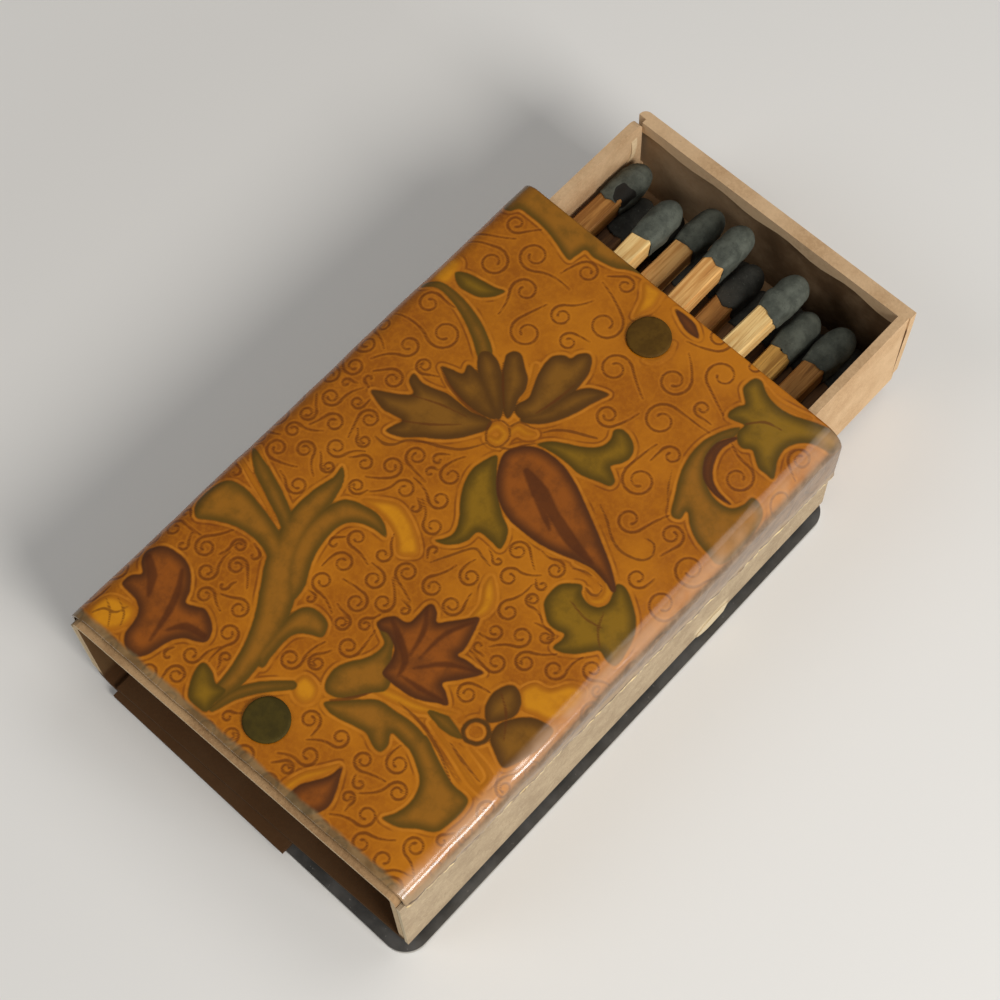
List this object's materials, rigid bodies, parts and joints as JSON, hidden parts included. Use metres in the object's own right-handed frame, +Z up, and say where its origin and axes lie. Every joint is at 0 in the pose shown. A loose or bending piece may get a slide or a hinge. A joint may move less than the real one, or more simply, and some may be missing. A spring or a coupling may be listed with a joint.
{
  "type": "matchbox",
  "caption": "Sliding card matchbox with a glossy printed cover, its tray pulled part of the way out over dark-headed matches.",
  "frame": {"origin": "on the underside of the base plate, below the middle of the sleeve", "axes": "+Y along the box towards the open end of the tray, +X towards the long side that the picture shows, +Z up"},
  "size_m": [0.0371, 0.0685, 0.0152],
  "materials": {
    "plate": "dark, semi-gloss",
    "sleeve_card": "kraft card, matt",
    "striker": "worn gritty ply, matt",
    "cover": "printed ochre under a glossy film",
    "stud": "dark olive, satin",
    "tray_card": "kraft card, matt",
    "splint": "raw split wood",
    "head": "matt grey-green compound"
  },
  "bodies": {
    "box_sleeve": {"base_plate": "plate", "card_sleeve": "sleeve_card", "striker_left": "striker", "striker_right": "striker", "top_cover": "cover", "front_stud": "stud", "rear_stud": "stud"},
    "box_tray": {"tray": "tray_card", "match_stick_01": "splint", "match_stick_02": "splint", "match_stick_03": "splint", "match_stick_04": "splint", "match_stick_05": "splint", "match_stick_06": "splint", "match_stick_07": "splint", "match_stick_08": "splint", "match_stick_09": "splint", "match_stick_10": "splint", "match_stick_11": "splint", "match_stick_12": "splint", "match_stick_13": "splint", "match_stick_14": "splint", "match_stick_15": "splint", "match_stick_16": "splint", "match_stick_17": "splint", "match_stick_18": "splint", "match_stick_19": "splint", "match_stick_20": "splint", "match_stick_21": "splint", "match_stick_22": "splint", "match_stick_23": "splint", "match_stick_24": "splint", "match_head_01": "head", "match_head_02": "head", "match_head_03": "head", "match_head_04": "head", "match_head_05": "head", "match_head_06": "head", "match_head_07": "head", "match_head_08": "head", "match_head_09": "head", "match_head_10": "head", "match_head_11": "head", "match_head_12": "head", "match_head_13": "head", "match_head_14": "head", "match_head_15": "head", "match_head_16": "head", "match_head_17": "head", "match_head_18": "head", "match_head_19": "head", "match_head_20": "head", "match_head_21": "head", "match_head_22": "head", "match_head_23": "head", "match_head_24": "head"}
  },
  "joints": [
    {"name": "tray_slide", "type": "slide", "parent": "box_sleeve", "child": "box_tray", "axis": [0, 1, 0], "range_m": [-0.014, 0.03]}
  ]
}
